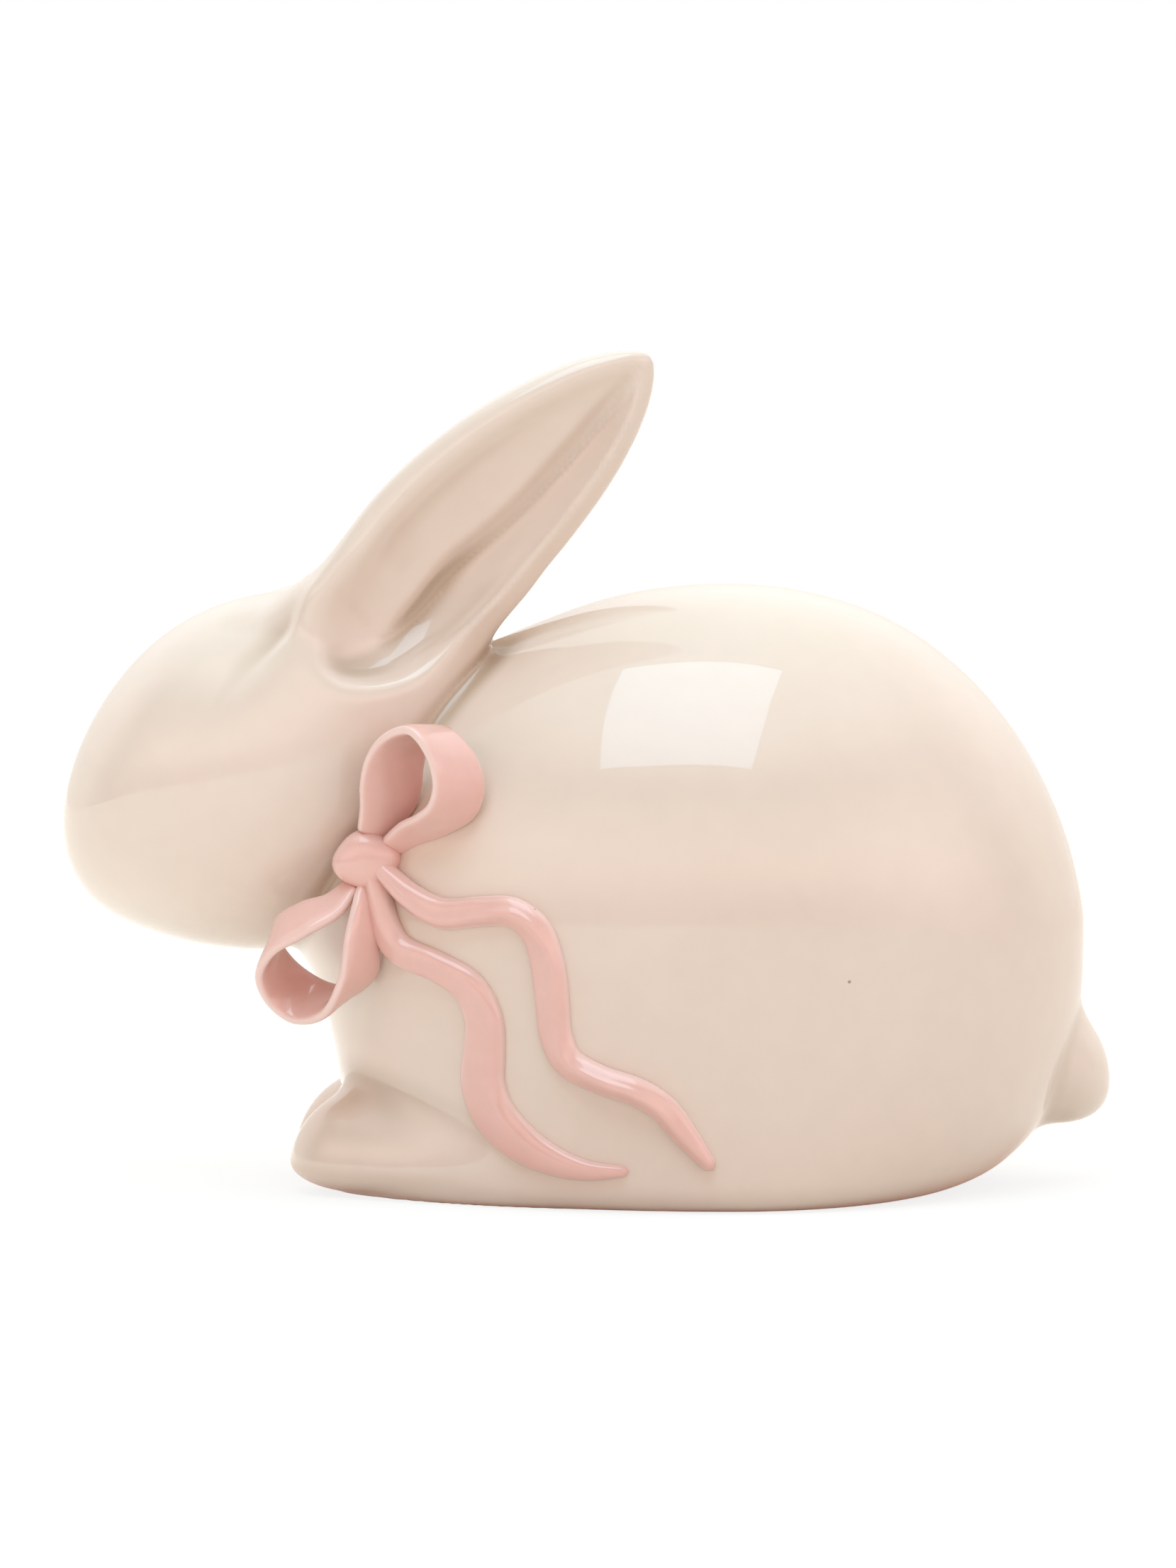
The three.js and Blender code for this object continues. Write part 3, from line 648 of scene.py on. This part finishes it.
lowerLoop = [
    [-2.6, 0.6, -4.4, -0.3, 0.85, 0.45, 4],
    [-6, 2, -7.6, -0.25, 0.85, 0.5, 6.5],
    [-10.4, 2.4, -9.6, -0.1, 0.85, 0.55, 8.5],
    [-15, 1.6, -12.6, 0.15, 0.8, 0.6, 9.5],
    [-16.4, -0.6, -17, 0.35, 0.75, 0.57, 10],
    [-14.4, -2.4, -21, 0.45, 0.68, 0.57, 10.5],
    [-10, -1.8, -24, 0.56, 0.6, 0.56, 10.5],
    [-5, 1.2, -23.6, 0.62, 0.62, 0.45, 10],
    [-1.4, 3.6, -19, 0.71, 0.64, 0.3, 9],
    [-0.8, 4.6, -13, 0.72, 0.66, 0.2, 7],
    [-0.2, 3.2, -7.6, 0.7, 0.7, 0.1, 5],
    [0.2, 1.4, -4.6, 0.7, 0.7, 0.1, 4],
]


def makeLoop(name, node, stations):
    places = np.array(stations)[:, :3] * outwards
    values, at = runAlong(stations, places, loop["count"])
    path = values[:, :3] * outwards + knotMiddle
    along = unit(np.gradient(path, at, axis=0))
    across = values[:, 3:6]
    across = unit(across - (across * along).sum(-1, keepdims=True) * along)
    face = np.cross(along, across)
    side, deep = roundedSection(loop["around"], loop["square"])
    width = values[:, 6:7] / 2
    rings = (path[:, None] + across[:, None] * (width * side)[..., None]
             + face[:, None] * (np.ones_like(width) * deep * loop["thickness"] / 2)[..., None])
    thin = edgeShare(side, loop["edge"]) * loop["thin"]
    piece = stripObject(name, rings, thin * np.ones_like(width))
    dress(piece, node, "pink_glazed_ceramic", pinkGlaze)


# Ribbon ends: behind and above from the knot, width, thickness, lift, and where and how high a ridge runs
frontTail = [
    [2.4, -2.6, 4.0, 2.6, 1.4, -0.2, 0.5],
    [3.6, -10.4, 5.2, 2.4, 0.8, -0.3, 0.6],
    [6, -14.6, 5.4, 2.2, 0.3, -0.4, 0.4],
    [12, -17.2, 5.5, 2.0, 0, -0.5, 0.3],
    [17.4, -20.6, 6.3, 2.0, 0, -0.5, 0.2],
    [19.8, -25.6, 7.1, 2.0, 0, 0, 0],
    [20, -31, 7.7, 2.0, 0, 0, 0],
    [19.7, -36.5, 8.3, 2.0, 0, 0, 0],
    [21.4, -41.6, 8.1, 2.0, 0, 0, 0],
    [25.6, -46, 7.1, 1.9, 0, 0, 0],
    [31, -49, 5.3, 1.8, 0, 0, 0],
    [37, -50.6, 3.5, 1.6, 0, 0, 0],
    [44, -50.6, 1.8, 1.2, 0, 0, 0],
]
rearTail = [
    [3.4, -1.4, 3, 2.6, 1.4, 0.3, 0.4],
    [8.2, -5.9, 4.5, 2.4, 0.6, 0.4, 0.8],
    [13, -8.3, 5.3, 2.2, 0, 0.5, 0.8],
    [19.8, -7.7, 5.2, 2.0, 0, 0.4, 0.8],
    [24.6, -7.7, 5.2, 2.0, 0, 0.2, 0.8],
    [28.6, -10.6, 5.5, 2.0, 0, 0, 0.7],
    [30.5, -16, 5.9, 2.0, 0, -0.35, 0.5],
    [31.3, -22, 5.9, 2.0, 0, -0.4, 0.3],
    [31.9, -28, 5.7, 2.0, 0, -0.2, 0.1],
    [34, -32.4, 5.3, 2.2, 0, 0, 0.4],
    [39, -35.1, 4.9, 2.4, 0.3, 0.1, 0.9],
    [45.6, -37.3, 4.9, 2.4, 0.4, 0.2, 0.9],
    [49.8, -40, 4.9, 2.2, 0.2, 0.3, 0.7],
    [53.2, -44.2, 4.4, 2.0, 0, 0.3, 0.5],
    [58, -50.2, 2.2, 1.4, 0, 0, 0.1],
]
laid = {
    "count": 150, "around": 36, "square": 2.8, "sink": 0.3,
    "crown": 0.12, "ridgeWidth": 0.34,
    "endRound": 1.4, "endLeast": 0.04,
    "edge": 0.2, "thin": 0.55, "thinBelow": 0.4,
}


# A strip laid on the skin, thickest along its middle, with a ridge and a blunt end.
def makeRibbonEnd(name, node, stations):
    flat = np.array(stations)[:, :2]
    onFace = skinFace(knotMiddle[0] + flat[:, 0], knotMiddle[2] + flat[:, 1])
    values, at = runAlong(stations, onFace, laid["count"])
    path = skinFace(knotMiddle[0] + values[:, 0], knotMiddle[2] + values[:, 1])
    normal = unit(slopeOf(skin, path))
    along = unit(np.gradient(path, at, axis=0))
    across = unit(np.cross(along, normal))
    left = np.clip((at[-1] - at) / laid["endRound"], 0, 1)[:, None]
    blunt = np.sqrt(1 - (1 - left) ** 2) * (1 - laid["endLeast"]) + laid["endLeast"]
    side, deep = roundedSection(laid["around"], laid["square"])
    width = values[:, 2:3] / 2 * blunt
    foot = path[:, None] + across[:, None] * (width * side)[..., None]
    foot = settled(skin, foot, 3)
    out = unit(slopeOf(skin, foot))
    ridge = np.exp(-((side - values[:, 5:6]) / laid["ridgeWidth"]) ** 2) * values[:, 6:7]
    thickness = values[:, 3:4] * (1 - laid["crown"] * side ** 2)
    top = np.maximum(deep, 0) * (thickness + ridge) * blunt
    height = np.where(deep > 0, top + values[:, 4:5], -laid["sink"])
    rings = foot + out * height[..., None]
    thin = np.where(deep > 0, edgeShare(side, laid["edge"]), laid["thinBelow"]) * laid["thin"]
    piece = stripObject(name, rings, thin * np.ones_like(width))
    dress(piece, node, "pink_glazed_ceramic", pinkGlaze)


def makeBow():
    makeKnot()
    makeLoop("bow_upper_loop_glazed", "bow_upper_loop", upperLoop)
    makeLoop("bow_lower_loop_glazed", "bow_lower_loop", lowerLoop)
    makeRibbonEnd("front_ribbon_tail_glazed", "front_ribbon_tail", frontTail)
    makeRibbonEnd("rear_ribbon_tail_glazed", "rear_ribbon_tail", rearTail)
    print("bow loops and ribbon ends")


# Places and sizes in metres, colours linear
studio = {
    "camera": (0.0001, -1.2, 0.1485), "pitch": 86.2, "lens": 160.5, "sensor": 36, "clip": (0.05, 20),
    "keyAt": (-0.07, -0.4, 1.05), "keyAim": (0, 0, 0.06), "keySize": (0.58, 0.84),
    "keyPower": 4.9, "keyColor": (0.48, 0.764, 1.0),
    "tableSize": 4.0, "tableMatt": (0.69, 0.69, 0.65), "tableSheen": (0.26, 0.12, 0.09),
    "tableWhite": 1.1, "tableShare": 0.75,    # how bright, and how much of it, the camera sees white
    "daylight": (0.45, 0.5, 0.52), "daylightSheen": 0.6, "daylightFrom": 0.0, "daylightTo": -0.12,
}

# The pale room round the table: patches of light, each fading in along the directions listed with it
room = {
    "frontLow": [(0.63, 0.27, 0.34), ["Y", 0.1, -0.5], ["Z", 0.45, 0.1]],
    "frontHigh": [(1.36, 1.13, 0.91), ["Y", 0.1, -0.5], ["Z", 0.05, 0.3], ["Z", 0.65, 0.35]],
    "ceiling": [(1.33, 1.55, 1.44), ["Z", 0.6, 0.9]],
    "backdropLow": [(1.05, 0.98, 0.91), ["Y", -0.1, 0.5], ["Z", 0.6, 0.1]],
    "backdropHigh": [(1.47, 1.4, 1.4), ["Y", -0.1, 0.5], ["Z", 0.1, 0.6], ["Z", 0.9, 0.6]],
    "rightWall": [(0.7, 0.65, 0.7), ["X", 0.3, 0.9], ["Y", 0.5, -0.2]],
}


def makeRoom():
    world = bpy.data.worlds.new("studio")
    bpy.context.scene.world = world
    world.use_nodes = True
    tree = world.node_tree
    tree.nodes.clear()
    rays = addNode(tree, "ShaderNodeLightPath")
    direction = addNode(tree, "ShaderNodeTexCoord").outputs["Generated"]
    towards = addNode(tree, "ShaderNodeSeparateXYZ", {}, {0: direction})
    total = addNode(tree, "ShaderNodeCombineXYZ").outputs[0]
    for color, *ramps in room.values():
        lobe = addNode(tree, "ShaderNodeCombineXYZ", dict(zip("XYZ", color))).outputs[0]
        for axis, begin, end in ramps:
            ramp = addNode(tree, "ShaderNodeMapRange",
                           {"interpolation_type": "SMOOTHSTEP", "From Min": begin, "From Max": end},
                           {"Value": towards.outputs[axis]}).outputs[0]
            lobe = addNode(tree, "ShaderNodeVectorMath", {"operation": "SCALE"},
                           {0: lobe, 3: ramp}).outputs[0]
        total = addNode(tree, "ShaderNodeVectorMath", {"operation": "ADD"},
                        {0: total, 1: lobe}).outputs[0]
    pale = addNode(tree, "ShaderNodeBackground", {"Strength": 1.0}, {"Color": total})
    white = addNode(tree, "ShaderNodeBackground", {"Color": (1, 1, 1, 1), "Strength": 1.0})
    mix = addNode(tree, "ShaderNodeMixShader", {},
                  {0: rays.outputs["Is Camera Ray"], 1: pale.outputs[0], 2: white.outputs[0]})
    addNode(tree, "ShaderNodeOutputWorld", {}, {"Surface": mix.outputs[0]})


# Table painted matt white: no gleam of its own, a little warmer in what the glaze mirrors of it, and with
# daylight on its end before the rabbit's nose
def makeFloor():
    reach = studio["tableSize"]
    corners = [(-reach, -reach, 0), (reach, -reach, 0), (reach, reach, 0), (-reach, reach, 0)]
    mesh = bpy.data.meshes.new("table_top")
    mesh.from_pydata(corners, [], [(0, 1, 2, 3)])
    floor = bpy.data.objects.new("table_top", mesh)
    bpy.context.scene.collection.objects.link(floor)
    material, tree = newMaterial("matt_white_table")
    rays = addNode(tree, "ShaderNodeLightPath")
    matt = addNode(tree, "ShaderNodeBsdfDiffuse", {"Color": (*studio["tableMatt"], 1)})
    sheen = addNode(tree, "ShaderNodeEmission", {"Color": (*studio["tableSheen"], 1)},
                    {"Strength": rays.outputs["Is Glossy Ray"]})
    place = addNode(tree, "ShaderNodeNewGeometry").outputs["Position"]
    along = addNode(tree, "ShaderNodeSeparateXYZ", {}, {0: place}).outputs["X"]
    lit = addNode(tree, "ShaderNodeMapRange",
                  {"interpolation_type": "SMOOTHSTEP",
                   "From Min": studio["daylightFrom"], "From Max": studio["daylightTo"]},
                  {"Value": along}).outputs[0]
    seen = addNode(tree, "ShaderNodeMath", {"operation": "MULTIPLY_ADD", 1: studio["daylightSheen"]},
                   {0: rays.outputs["Is Glossy Ray"], 2: rays.outputs["Is Diffuse Ray"]}).outputs[0]
    strength = addNode(tree, "ShaderNodeMath", {"operation": "MULTIPLY"}, {0: lit, 1: seen}).outputs[0]
    daylight = addNode(tree, "ShaderNodeEmission", {"Color": (*studio["daylight"], 1)},
                       {"Strength": strength})
    table = addNode(tree, "ShaderNodeAddShader", {}, {0: matt.outputs[0], 1: sheen.outputs[0]})
    table = addNode(tree, "ShaderNodeAddShader", {}, {0: table.outputs[0], 1: daylight.outputs[0]})
    white = addNode(tree, "ShaderNodeEmission", {"Color": (1, 1, 1, 1), "Strength": studio["tableWhite"]})
    share = addNode(tree, "ShaderNodeMath", {"operation": "MULTIPLY", 1: studio["tableShare"]},
                    {0: rays.outputs["Is Camera Ray"]})
    mix = addNode(tree, "ShaderNodeMixShader", {},
                  {0: share.outputs[0], 1: table.outputs[0], 2: white.outputs[0]})
    addNode(tree, "ShaderNodeOutputMaterial", {}, {"Surface": mix.outputs[0]})
    mesh.materials.append(material)


def makeKey():
    lamp = bpy.data.lights.new("key_softbox", "AREA")
    lamp.shape = "RECTANGLE"
    lamp.size, lamp.size_y = studio["keySize"]
    lamp.energy = studio["keyPower"]
    lamp.color = studio["keyColor"]
    holder = bpy.data.objects.new("key_softbox", lamp)
    bpy.context.scene.collection.objects.link(holder)
    holder.location = studio["keyAt"]
    towards = np.array(studio["keyAim"]) - np.array(studio["keyAt"])
    holder.rotation_euler = Vector(towards).to_track_quat("-Z", "Y").to_euler()


def makeCamera():
    data = bpy.data.cameras.new("camera")
    data.lens = studio["lens"]
    data.sensor_width = studio["sensor"]
    data.clip_start, data.clip_end = studio["clip"]
    camera = bpy.data.objects.new("camera", data)
    bpy.context.scene.collection.objects.link(camera)
    camera.location = studio["camera"]
    camera.rotation_euler = (math.radians(studio["pitch"]), 0, 0)
    bpy.context.scene.camera = camera


makeSkin()
makeBow()
makeRoom()
makeFloor()
makeKey()
makeCamera()
bpy.context.scene.view_settings.view_transform = "Standard"
print("studio")
